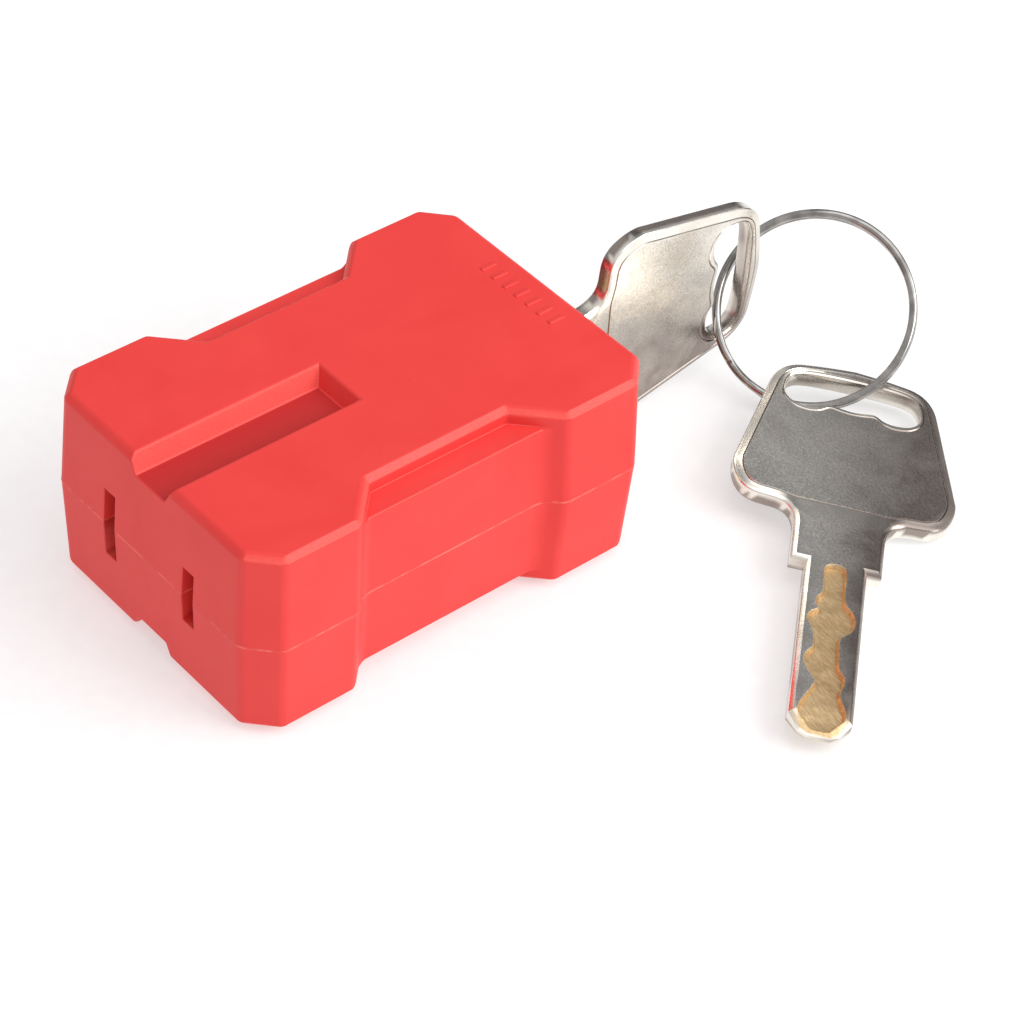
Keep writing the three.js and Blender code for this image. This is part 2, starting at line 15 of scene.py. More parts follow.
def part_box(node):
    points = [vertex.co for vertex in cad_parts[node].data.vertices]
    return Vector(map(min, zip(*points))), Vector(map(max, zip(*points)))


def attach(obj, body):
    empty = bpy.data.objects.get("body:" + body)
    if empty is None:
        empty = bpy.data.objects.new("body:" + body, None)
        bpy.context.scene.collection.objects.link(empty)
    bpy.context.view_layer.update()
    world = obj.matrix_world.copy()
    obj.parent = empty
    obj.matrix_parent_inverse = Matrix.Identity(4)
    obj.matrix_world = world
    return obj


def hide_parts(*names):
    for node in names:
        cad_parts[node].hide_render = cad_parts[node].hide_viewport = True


MM = 0.001
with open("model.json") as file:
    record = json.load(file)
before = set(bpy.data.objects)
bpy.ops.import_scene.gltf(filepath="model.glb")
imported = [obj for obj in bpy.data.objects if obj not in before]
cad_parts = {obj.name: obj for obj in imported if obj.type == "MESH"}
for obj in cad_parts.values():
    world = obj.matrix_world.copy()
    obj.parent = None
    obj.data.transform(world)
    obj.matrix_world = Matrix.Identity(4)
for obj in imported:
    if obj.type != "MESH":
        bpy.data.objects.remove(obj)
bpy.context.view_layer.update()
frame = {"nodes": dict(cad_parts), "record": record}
TOP_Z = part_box("upper_shell")[1].z / MM
AXIS_Z = TOP_Z / 2            # the lock axis and the shells' parting plane; the pegs reach below it
GROOVE_DEPTH = 2.0
GROOVE_FLOOR = AXIS_Z - GROOVE_DEPTH    # height of a groove's floor above or below the axis
GROOVE_HALF = 3.4             # half of a groove's width, near enough to tell its edges and floor by


def smoothstep(low, high, x):
    t = min(1.0, max(0.0, (x - low) / (high - low)))
    return t * t * (3 - 2 * t)


# ------------------------------------------------------------------ node materials
def link(tree, value, socket):
    """Sets a socket to a constant or connects another node's output to it."""
    if isinstance(value, bpy.types.NodeSocket):
        tree.links.new(value, socket)
    else:
        socket.default_value = value


def node(tree, kind, inputs=None, **settings):
    made = tree.nodes.new(kind)
    for key, value in settings.items():
        setattr(made, key, value)
    for key, value in (inputs or {}).items():
        link(tree, value, made.inputs[key])
    return made


def new_material(name):
    """A material, its node tree, its shader and a vector of object coordinates in millimetres."""
    material = bpy.data.materials.new(name)
    material.use_nodes = True
    tree = material.node_tree
    shader = tree.nodes["Principled BSDF"]
    place = node(tree, "ShaderNodeTexCoord").outputs["Object"]
    scaled = node(tree, "ShaderNodeVectorMath", {0: place}, operation="SCALE")
    scaled.inputs["Scale"].default_value = 1 / MM
    return material, tree, shader, scaled.outputs[0]


def noise(tree, where, scale, detail=2.0, roughness=0.5, distortion=0.0):
    made = node(tree, "ShaderNodeTexNoise", {
        "Vector": where, "Scale": scale, "Detail": detail, "Roughness": roughness, "Distortion": distortion})
    return made.outputs["Fac"]


def spread(tree, value, low, high, to_low=0.0, to_high=1.0):
    made = node(tree, "ShaderNodeMapRange", {
        "Value": value, "From Min": low, "From Max": high, "To Min": to_low, "To Max": to_high})
    return made.outputs["Result"]


def blend_colours(tree, share, a, b):
    made = node(tree, "ShaderNodeMix", {"Factor": share}, data_type="RGBA")
    link(tree, a, made.inputs[6])
    link(tree, b, made.inputs[7])
    return made.outputs[2]


def arithmetic(tree, operation, a, b):
    return node(tree, "ShaderNodeMath", {0: a, 1: b}, operation=operation).outputs[0]


def stretched(tree, where, scale, turn=(0.0, 0.0, 0.0)):
    made = node(tree, "ShaderNodeMapping", {"Vector": where, "Scale": scale, "Rotation": turn})
    return made.outputs[0]


def bump(tree, height, depth, strength=1.0, over=None):
    """Relief of that depth in millimetres, laid over another bump if one is given."""
    made = node(tree, "ShaderNodeBump", {"Height": height, "Strength": strength, "Distance": depth * MM})
    if over is not None:
        tree.links.new(over, made.inputs["Normal"])
    return made.outputs["Normal"]


def scratches(tree, where, turn, scale, low, high):
    """Thin broken lines: a fine noise drawn out along one direction and cut off near its crest."""
    lines = noise(tree, stretched(tree, where, scale, turn), 1.0, 2.0, 0.5, 0.15)
    patches = noise(tree, where, 0.35, 1.0)
    return arithmetic(tree, "MULTIPLY", spread(tree, lines, low, high), spread(tree, patches, 0.5, 0.62))


def red_plastic():
    """Satin moulded red: plain flats, and a spark-eroded grain on the sloping bands of the long sides, which
    also get a painted highlight.
    """
    material, tree, shader, where = new_material("red_plastic")
    flow = noise(tree, where, 0.09, 2.0, 0.6, 0.6)
    cloud = noise(tree, where, 0.9, 3.0)
    grain = noise(tree, where, 7.0, 2.0, 0.6)
    coarse = noise(tree, where, 8.5, 3.0, 0.7)
    scuff = scratches(tree, where, (0.3, 0.2, 0.6), (0.9, 7.0, 7.0), 0.72, 0.78)
    normal = node(tree, "ShaderNodeSeparateXYZ", {0: node(tree, "ShaderNodeNewGeometry").outputs["Normal"]})
    slope = arithmetic(tree, "ABSOLUTE", normal.outputs["Z"], 0.0)
    aside = arithmetic(tree, "ABSOLUTE", normal.outputs["Y"], 0.0)
    on_band = arithmetic(tree, "MULTIPLY", spread(tree, slope, 0.3, 0.5), spread(tree, slope, 0.93, 0.85))
    on_band = arithmetic(tree, "MULTIPLY", on_band, spread(tree, aside, 0.35, 0.55))
    base = blend_colours(tree, spread(tree, flow, 0.3, 0.7), (0.76, 0.046, 0.042, 1), (0.80, 0.056, 0.050, 1))
    mottled = blend_colours(tree, spread(tree, cloud, 0.35, 0.75, 0.0, 0.04), base, (0.95, 0.10, 0.08, 1))
    # Painted highlight: the sloping bands facing along Y are painted a lighter red in a coarse grain pattern.
    glint = arithmetic(tree, "MULTIPLY", spread(tree, coarse, 0.45, 0.7, 0.25, 0.6), on_band)
    highlit_bands = blend_colours(tree, glint, mottled, (1.0, 0.19, 0.15, 1))
    spot = node(tree, "ShaderNodeSeparateXYZ", {0: where})
    off_seam = arithmetic(tree, "ABSOLUTE", arithmetic(tree, "SUBTRACT", spot.outputs["Z"], AXIS_Z), 0.0)
    off_middle = arithmetic(tree, "ABSOLUTE", spot.outputs["Y"], 0.0)
    # Painted shade: the grooves' floors are painted a darker red.
    in_groove = spread(tree, off_seam, GROOVE_FLOOR + 0.2, GROOVE_FLOOR + 0.05)
    across = spread(tree, off_middle, GROOVE_HALF + 0.1, GROOVE_HALF - 0.1)
    in_groove = arithmetic(tree, "MULTIPLY", in_groove, across)
    in_groove = arithmetic(tree, "MULTIPLY", in_groove, spread(tree, off_seam, 8.8, 9.0))
    in_groove = arithmetic(tree, "MULTIPLY", in_groove, spread(tree, slope, 0.9, 0.97))
    groove_shaded = blend_colours(tree, in_groove, highlit_bands, (0.50, 0.026, 0.026, 1))
    # Painted highlight along the seam's flash: a lighter red in patches close to the parting plane.
    patches = spread(tree, cloud, 0.4, 0.6, 0.15, 0.7)
    flash_highlight = arithmetic(tree, "MULTIPLY", spread(tree, off_seam, 0.16, 0.07), patches)
    flash_highlighted = blend_colours(tree, flash_highlight, groove_shaded, (1.0, 0.22, 0.18, 1))
    marked = blend_colours(tree, arithmetic(tree, "MULTIPLY", scuff, 0.2), flash_highlighted, (1.0, 0.28, 0.24, 1))
    tree.links.new(marked, shader.inputs["Base Color"])
    tree.links.new(spread(tree, cloud, 0.3, 0.7, 0.44, 0.50), shader.inputs["Roughness"])
    relief = bump(tree, grain, 0.008, 0.4)
    relief = bump(tree, arithmetic(tree, "MULTIPLY", coarse, on_band), 0.05, 0.7, relief)
    relief = bump(tree, scuff, 0.01, 0.4, relief)
    tree.links.new(relief, shader.inputs["Normal"])
    shader.inputs["Specular IOR Level"].default_value = 0.25
    return material


def nickel_and_brass():
    """Bright nickel over a sand-cast skin; attributes say where milled brass shows (bare), where the skin is
    left as cast (cast),
    and how far the nickel is darkened: by tarnish in the fine lines, and elsewhere by painted shade that
    deepens from the bright long edge to the low one."""
    material, tree, shader, where = new_material("nickel_plate")
    bare = node(tree, "ShaderNodeAttribute", attribute_name="bare").outputs["Fac"]
    cast = node(tree, "ShaderNodeAttribute", attribute_name="cast").outputs["Fac"]
    tarnish_and_shade = node(tree, "ShaderNodeAttribute", attribute_name="tarnish_and_shade").outputs["Fac"]
    pebble = noise(tree, where, 3.2, 3.0, 0.65)
    waves = noise(tree, where, 0.25, 2.0, 0.5, 0.4)
    speck = noise(tree, where, 9.0, 2.0)
    share = spread(tree, waves, 0.35, 0.65)
    nickel = blend_colours(tree, share, (0.78, 0.72, 0.64, 1), (0.92, 0.88, 0.81, 1))
    tarnish = arithmetic(tree, "MULTIPLY", spread(tree, speck, 0.58, 0.75), cast)
    nickel = blend_colours(tree, arithmetic(tree, "MULTIPLY", tarnish, 0.45), nickel, (0.42, 0.38, 0.33, 1))
    # Painted shade across the key and tarnish in its fine lines, made uneven by a cloud of noise, darken the
    # nickel.
    uneven = arithmetic(tree, "ADD", tarnish_and_shade, spread(tree, waves, 0.3, 0.7, -0.18, 0.18))
    nickel = blend_colours(tree, spread(tree, uneven, 0.25, 0.95), nickel, (0.33, 0.28, 0.25, 1))
    milled = noise(tree, stretched(tree, where, (1.0, 0.2, 1.0)), 5.0, 3.0, 0.6)
    share = spread(tree, milled, 0.35, 0.65)
    brass = blend_colours(tree, share, (0.56, 0.38, 0.19, 1), (0.78, 0.58, 0.34, 1))
    tree.links.new(blend_colours(tree, bare, nickel, brass), shader.inputs["Base Color"])
    shader.inputs["Metallic"].default_value = 1.0
    skin = spread(tree, pebble, 0.3, 0.7, 0.2, 0.34)
    polished = spread(tree, speck, 0.3, 0.7, 0.2, 0.3)
    plated = node(tree, "ShaderNodeMix", {"Factor": cast, "A": polished, "B": skin}, data_type="FLOAT")
    roughness = arithmetic(tree, "ADD", arithmetic(tree, "MULTIPLY", bare, 0.24), plated.outputs[0])
    tree.links.new(roughness, shader.inputs["Roughness"])
    height = arithmetic(tree, "MULTIPLY", pebble, cast)
    relief = bump(tree, height, 0.05, 0.55)
    relief = bump(tree, waves, 0.12, 0.35, relief)
    tree.links.new(relief, shader.inputs["Normal"])
    return material


def metal(name, dark, light, roughness, grain_scale, depth, stretch=(1.0, 1.0, 1.0)):
    """A bare metal: two tones, a roughness range and a grain that may be drawn out along an axis."""
    material, tree, shader, where = new_material(name)
    grain = noise(tree, stretched(tree, where, stretch), grain_scale, 3.0, 0.6)
    cloud = noise(tree, where, 0.5, 2.0)
    tone = blend_colours(tree, spread(tree, cloud, 0.3, 0.7), (*dark, 1), (*light, 1))
    tree.links.new(tone, shader.inputs["Base Color"])
    shader.inputs["Metallic"].default_value = 1.0
    tree.links.new(spread(tree, grain, 0.3, 0.7, *roughness), shader.inputs["Roughness"])
    tree.links.new(bump(tree, grain, depth, 0.5), shader.inputs["Normal"])
    return material


def floor_material():
    material, tree, shader, where = new_material("studio_floor")
    paper = noise(tree, where, 0.8, 3.0)
    tone = blend_colours(tree, spread(tree, paper, 0.3, 0.7), (0.50, 0.50, 0.50, 1), (0.54, 0.54, 0.54, 1))
    tree.links.new(tone, shader.inputs["Base Color"])
    shader.inputs["Emission Color"].default_value = (1, 1, 1, 1)
    shader.inputs["Emission Strength"].default_value = 0.5
    shader.inputs["Roughness"].default_value = 0.9
    shader.inputs["Specular IOR Level"].default_value = 0.1
    return material


MATERIALS = {
    "red_plastic": red_plastic(),
    "nickel_plate": nickel_and_brass(),
    "zinc": metal("zinc", (0.50, 0.50, 0.49), (0.66, 0.66, 0.65), (0.32, 0.48), 2.6, 0.03),
    "brass": metal("brass", (0.66, 0.44, 0.14), (0.86, 0.64, 0.27), (0.22, 0.36), 4.0, 0.012,
                   stretch=(0.15, 1.0, 1.0)),
    "spring_steel": metal("spring_steel", (0.24, 0.23, 0.22), (0.46, 0.44, 0.42), (0.05, 0.12), 3.0, 0.004),
    "hardened_steel": metal("hardened_steel", (0.34, 0.34, 0.36), (0.52, 0.52, 0.54), (0.2, 0.34), 5.0, 0.01,
                            stretch=(1.0, 0.1, 1.0)),
}


# ------------------------------------------------------------------ pieces from meshes
WELD_DISTANCE = 0.002         # corners nearer than this are one corner


def finished(bm, name, body, slot, nodes, sharp_angle):
    """Turns a bmesh in millimetres into a shaded piece that rides on a body and stands for its CAD nodes."""
    bmesh.ops.transform(bm, matrix=Matrix.Scale(MM, 4), verts=bm.verts)
    mesh = bpy.data.meshes.new(name)
    bm.to_mesh(mesh)
    bm.free()
    mesh.shade_smooth()
    mesh.set_sharp_from_angle(angle=math.radians(sharp_angle))
    mesh.materials.append(MATERIALS[slot])
    piece = bpy.data.objects.new(name, mesh)
    bpy.context.scene.collection.objects.link(piece)
    weighted = piece.modifiers.new("Weighted normals", "WEIGHTED_NORMAL")
    weighted.keep_sharp = True
    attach(piece, body)
    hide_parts(*nodes)
    return piece


def from_node(name):
    """The solid of a CAD node in millimetres, with the facets of each flat face merged into one."""
    bm = bmesh.new()
    bm.from_mesh(frame["nodes"][name].data)
    bmesh.ops.transform(bm, matrix=Matrix.Scale(1 / MM, 4), verts=bm.verts)
    bmesh.ops.remove_doubles(bm, verts=bm.verts, dist=WELD_DISTANCE)
    bmesh.ops.dissolve_limit(bm, angle_limit=math.radians(0.6), verts=bm.verts, edges=bm.edges)
    close_spurs(bm)
    return bm


def close_spurs(bm):
    """Pulls back corners where two edges run on top of each other, as a union of flush walls can leave."""
    pulled = {}
    for v in bm.verts:
        if len(v.link_edges) != 2:
            continue
        near, far = sorted((e.other_vert(v) for e in v.link_edges), key=lambda o: (o.co - v.co).length)
        if (near.co - v.co).normalized().dot((far.co - v.co).normalized()) > 0.999:
            pulled[v] = near
    bmesh.ops.weld_verts(bm, targetmap=pulled)


def bevelled(bm, radius_of_edge, segments):
    """Rounds each edge by its own radius with a bevel modifier and returns the result as a new bmesh."""
    weight = bm.edges.layers.float.new("bevel_weight_edge")
    for edge in bm.edges:
        edge[weight] = radius_of_edge(edge)
    mesh = bpy.data.meshes.new("bevel_source")
    bm.to_mesh(mesh)
    bm.free()
    helper = bpy.data.objects.new("bevel_source", mesh)
    bpy.context.scene.collection.objects.link(helper)
    modifier = helper.modifiers.new("Bevel", "BEVEL")
    modifier.limit_method = "WEIGHT"
    modifier.width = 1.0
    modifier.segments = segments
    modifier.use_clamp_overlap = False
    modifier.miter_outer = "MITER_SHARP"
    evaluated = helper.evaluated_get(bpy.context.evaluated_depsgraph_get())
    result = bmesh.new()
    result.from_mesh(evaluated.to_mesh())
    evaluated.to_mesh_clear()
    bpy.data.objects.remove(helper)
    bpy.data.meshes.remove(mesh)
    return result


# ------------------------------------------------------------------ moulded shells
LEDGE_HEIGHT = 9.44           # of the waists' ledges; heights are above and below the lock axis
SKIN_HEIGHT = 9.2             # anything further from the axis is on the outside
SKIN_X, SKIN_Y = 24.4, 14.9
NOSE_HOLE_RADIUS = 7.5
LEAST_BEND = 12               # degrees; flatter edges stay as they are


def on_skin(v):
    """True for a corner on the outside of the block or in one of its grooves."""
    return abs(v.co.z - AXIS_Z) > SKIN_HEIGHT or abs(v.co.x) > SKIN_X or abs(v.co.y) > SKIN_Y


def shell_edge_radius(edge):
    """Radius in millimetres that a moulded shell has along one of its edges."""
    if len(edge.link_faces) != 2 or not all(on_skin(v) for v in edge.verts):
        return 0.0
    bend = edge.calc_face_angle_signed(0.0)
    if abs(bend) < math.radians(LEAST_BEND):
        return 0.0
    a, b = (v.co for v in edge.verts)
    middle = (a + b) / 2
    height = abs(middle.z - AXIS_Z)
    along = (b - a).normalized()
    in_groove = abs(middle.y) < GROOVE_HALF + 0.2 and height > GROOVE_FLOOR - 0.3
    from_axis = math.hypot(middle.y, middle.z - AXIS_Z)
    if height < 0.02:                                            # the seam between the shells
        return 0.07
    if middle.x > SKIN_X and from_axis < NOSE_HOLE_RADIUS + 0.1:
        return 0.2
    if in_groove:
        return 0.28 if height > AXIS_Z - 0.3 else 0.2
    if middle.x < -24.3 and abs(middle.y) < 8 and height < 5:    # the blade slots' mouths
        return 0.12
    if abs(along.z) > 0.6 and height < LEDGE_HEIGHT + 0.2:       # upright corners, outer and inner
        return 0.6 if bend > 0 else 0.9
    if abs(height - LEDGE_HEIGHT) < 0.1:
        return 0.15 if bend > 0 else 0.12
    return 0.09 if abs(along.x) > 0.9 else 0.28                  # the long edges are crisper


def grip_bars(bm):
    """Seven low raised bars across the top near the key end, where such blocks carry a moulded mark."""
    count, pitch, length, width, height = 7, 1.75, 1.9, 0.55, 0.12
    for i in range(count):
        made = bmesh.ops.create_cube(bm, size=1.0)
        y = (i - (count - 1) / 2) * pitch
        place = Matrix.Translation((21.25, y, TOP_Z)) @ Matrix.Diagonal((length, width, 2 * height, 1))
        bmesh.ops.transform(bm, matrix=place, verts=made["verts"])
        edges = {e for v in made["verts"] for e in v.link_edges}
        bmesh.ops.bevel(bm, geom=list(edges), offset=0.09, segments=2, profile=0.5, affect="EDGES")


def moulded_shell(node_name):
    bm = bevelled(from_node(node_name), shell_edge_radius, 3)
    if node_name == "upper_shell":
        grip_bars(bm)
    return finished(bm, node_name + "_moulding", "housing", "red_plastic", [node_name], sharp_angle=32)


moulded_shell("upper_shell")
moulded_shell("lower_shell")


# ------------------------------------------------------------------ keys
KEY_HALF = 1.1                # half of the key's thickness
KEY_TIP_OVERHANG = 2.2        # from the tip corners, where key lengths are measured from, to the very tip
RIM_WIDTH = 0.95              # polished rim of the bow
PANEL_X = 30.1                # where the bow's panel ends at the neck
CURVE_STEP, STRAIGHT_STEP = 0.6, 3.0    # longest steps between points of the outline


def arc_points(points, curves):
    """Points of a path whose stretches are straight or, where curves gives a control point, quadratic."""
    path = [Vector(points[0])]
    for i, end in enumerate(points[1:]):
        start, end = path[-1].copy(), Vector(end)
        longest = CURVE_STEP if i in curves else STRAIGHT_STEP
        steps = max(1, math.ceil((end - start).length / longest))
        for k in range(1, steps + 1):
            t = k / steps
            if i in curves:
                control = Vector(curves[i])
                path.append(start * (1 - t) ** 2 + control * 2 * t * (1 - t) + end * t * t)
            else:
                path.append(start.lerp(end, t))
    return path


def mirrored(half):
    """A closed loop, counter-clockwise, from its half on the +w side given from the bow's end to the tip."""
    return half + [Vector((p.x, -p.y)) for p in reversed(half[1:-1])]


def key_outline():
    points = [(52.3, 0), (51.5, 6.0), (47.9, 9.15), (34.6, 11.88), (31.6, 11.3), (29.75, 8.8), (29.6, 7.0),
              (26.6, 4.78), (21.3, 4.75), (21.3, 3.2), (0, 3.2), (-1.7, 2.1), (-2.2, 1.25), (-2.2, 0)]
    curves = {0: (52.1, 3.0), 1: (50.9, 8.4), 3: (33.0, 11.95), 4: (30.0, 10.6), 6: (29.3, 4.95)}
    return mirrored(arc_points(points, curves))


def catmull(points, steps=4):
    """A closed smooth loop through control points."""
    loop = []
    count = len(points)
    for i in range(count):
        a, b, c, d = (Vector(points[(i + k - 1) % count]) for k in range(4))
        for k in range(steps):
            t = k / steps
            loop.append(0.5 * (2 * b + (c - a) * t + (2 * a - 5 * b + 4 * c - d) * t * t
                               + (3 * b - a - 3 * c + d) * t ** 3))
    return loop


def slot_loop(half):
    """The bow's slot, counter-clockwise, from the +w half given from its far edge to its near edge."""
    return catmull(half + [(x, -w) for x, w in reversed(half[1:-1])], 3)


SLOT_OPENING = [(50.15, 0), (50.1, 2.5), (49.95, 4.9), (49.5, 6.5), (48.3, 7.3), (46.6, 7.32), (45.5, 6.3),
                (45.25, 4.7), (45.5, 3.4), (46.1, 2.4), (45.95, 1.2), (45.8, 0)]
SLOT_RIM = [(50.6, 0), (50.55, 2.5), (50.3, 5.0), (49.65, 6.7), (48.3, 7.5), (45.9, 7.6), (44.5, 6.5),
            (44.05, 4.8), (44.4, 3.5), (45.15, 2.5), (44.95, 1.2), (44.85, 0)]
TRACK = [(21.35, 0), (21.1, 0.85), (20.3, 1.2), (17.3, 1.12), (16.3, 1.6), (15.3, 1.75), (14.6, 1.45),
         (13.9, 2.2), (12.9, 2.45), (11.9, 1.95), (10.5, 1.6), (9.2, 1.55), (8.0, 2.2), (6.9, 2.3),
         (5.7, 1.85), (4.6, 1.05), (3.7, 1.2), (0.5, 2.42), (-0.9, 1.5), (-1.5, 0.9), (-1.58, 0),
         (-1.5, -0.9), (-0.9, -1.5), (0.5, -2.42), (3.2, -1.6), (4.6, -1.9), (5.8, -1.85), (6.8, -1.25),
         (8.8, -1.1), (10.9, -1.1), (12.1, -2.1), (13.5, -2.45), (15.0, -2.05), (15.9, -1.3),
         (18.0, -1.12), (20.3, -1.1), (21.1, -0.8)]


def inset(loop, distance):
    """The loop moved inward by a distance, with its corners kept sharp."""
    moved = []
    count = len(loop)
    for i in range(count):
        before = (loop[i] - loop[i - 1]).normalized()
        after = (loop[(i + 1) % count] - loop[i]).normalized()
        n1, n2 = Vector((-before.y, before.x)), Vector((-after.y, after.x))
        moved.append(loop[i] + (n1 + n2) * (distance / (1 + n1.dot(n2))))
    return moved


def inside(point, loop):
    """Even-odd test of a point against a closed loop."""
    hit = False
    for i, b in enumerate(loop):
        a = loop[i - 1]
        if (a.y > point.y) != (b.y > point.y) and point.x < a.x + (point.y - a.y) * (b.x - a.x) / (b.y - a.y):
            hit = not hit
    return hit


def half_width(x):
    """About half of the key's width at a place along it, wider at the neck and again at the bow."""
    return 3.2 + 1.5 * smoothstep(20.5, 22.0, x) + 6.0 * smoothstep(27.0, 33.0, x)


class Relief:
    """Builds one face of the key as loops of points in plan with a height for each point."""

    def __init__(self):
        self.bm = bmesh.new()
        self.bare = self.bm.verts.layers.float.new("bare")
        self.cast = self.bm.verts.layers.float.new("cast")
        self.tarnish_and_shade = self.bm.verts.layers.float.new("tarnish_and_shade")

    def point(self, p, z, bare=0.0, cast=0.0, tarnish_and_shade=None):
        made = self.bm.verts.new((p.x, p.y, z))
        made[self.bare] = bare
        made[self.cast] = cast
        # Unless a value is given, painted shade darkens the key from one long edge to the other.
        across = max(-1.0, min(1.0, p.y / half_width(p.x)))
        made[self.tarnish_and_shade] = 0.5 - 0.5 * across if tarnish_and_shade is None else tarnish_and_shade
        return made

    def loop(self, plan, height, bare=0.0, cast=0.0, tarnish_and_shade=None):
        """A ring of points; its height and its share of bare brass may be functions of the point."""
        made = []
        for p in plan:
            z = height(p) if callable(height) else height
            brass = bare(p) if callable(bare) else bare
            made.append(self.point(p, z, brass, cast, tarnish_and_shade))
        return made

    def strip(self, outer, inner):
        for i in range(len(outer)):
            j = (i + 1) % len(outer)
            self.bm.faces.new((outer[i], outer[j], inner[j], inner[i]))

    def strips(self, loops):
        for outer, inner in zip(loops, loops[1:]):
            self.strip(outer, inner)

    def fill(self, outer, holes, loose=()):
        """Triangles inside the outer loop and outside the holes, through the loose points too."""
        loops = [outer, *holes]
        corners = [v for loop in loops for v in loop] + list(loose)
        edges, first = [], 0
        for loop in loops:
            edges += [(first + i, first + (i + 1) % len(loop)) for i in range(len(loop))]
            first += len(loop)
        made = geometry.delaunay_2d_cdt([v.co.xy for v in corners], edges, [], 0, 1e-6)
        origin = [corners[source[0]] for source in made[3]]
        plans = [[v.co.xy.copy() for v in loop] for loop in loops]
        for face in made[2]:
            a, b, c = (origin[i] for i in face)
            centre = (a.co.xy + b.co.xy + c.co.xy) / 3
            if inside(centre, plans[0]) and not any(inside(centre, plan) for plan in plans[1:]):
                self.bm.faces.new((a, b, c))


def bow(x):
    """0 on the blade and neck, 1 on the bow."""
    return smoothstep(27.5, 31.0, x)


def tip(x):
    """1 at the tip, where both faces slope down to meet the milled funnel."""
    return 1 - smoothstep(-2.4, 0.9, x)


TIP_DROP = 0.78               # from the flat face down to the thin edge at the tip
TRACK_DEPTH = 0.52
LINE_TARNISH = 1.3            # tarnish gathers in the fine lines round the panel and the slot
# The rounded edge: how far in each ring of points lies, and its drop on the blade and on the bow.
EDGE_RINGS = [(0.0, 0.42, 0.44), (0.1, 0.29, 0.32), (0.3, 0.12, 0.25), (0.5, 0.0, 0.21)]
# The fine line round the panel: how far in each loop lies, its drop from the face, how much of the cast
# skin it has and its tarnish, where None leaves the painted shade across the key. A plain loop on each side
# keeps the tarnish off the faces beside it.
PANEL_LINE = [(-0.09, 0.07, 0.0, None), (0.0, 0.16, 0.3, LINE_TARNISH), (0.09, 0.02, 0.8, None),
              (0.18, 0.0, 1.0, None)]
# The slot's rounded lip: the share of the way from rim to opening, and the drop from the face.
SLOT_LIP = [(0.15, 0.1), (0.6, 0.2), (0.9, 0.48), (1.0, 0.66)]


def surface(p):
    """Height of the flat face of blade and neck."""
    return KEY_HALF - 0.07 * smoothstep(27.0, 29.8, p.x) - TIP_DROP * tip(p.x)


def track_floor(p):
    """Height of the milled track's floor, which runs out through the tip."""
    return KEY_HALF - TRACK_DEPTH - (TIP_DROP + 0.06 - TRACK_DEPTH) * (1 - smoothstep(-2.0, 2.5, p.x))


def below_lip(p):
    """Height just inside the track's lip, flush with the face at the tip."""
    return surface(p) - 0.1 * (1 - tip(p.x))


def milled_tip(p):
    """1 where the funnel at the tip is cut through the nickel, right out to the blade's corners."""
    return 1 - smoothstep(-0.5, 0.5, p.x)


def scallop(x):
    """Depth that the round cutter leaves below the track's edge, deepest where it paused."""
    return 0.1 + 0.07 * math.cos(2.4 * x)


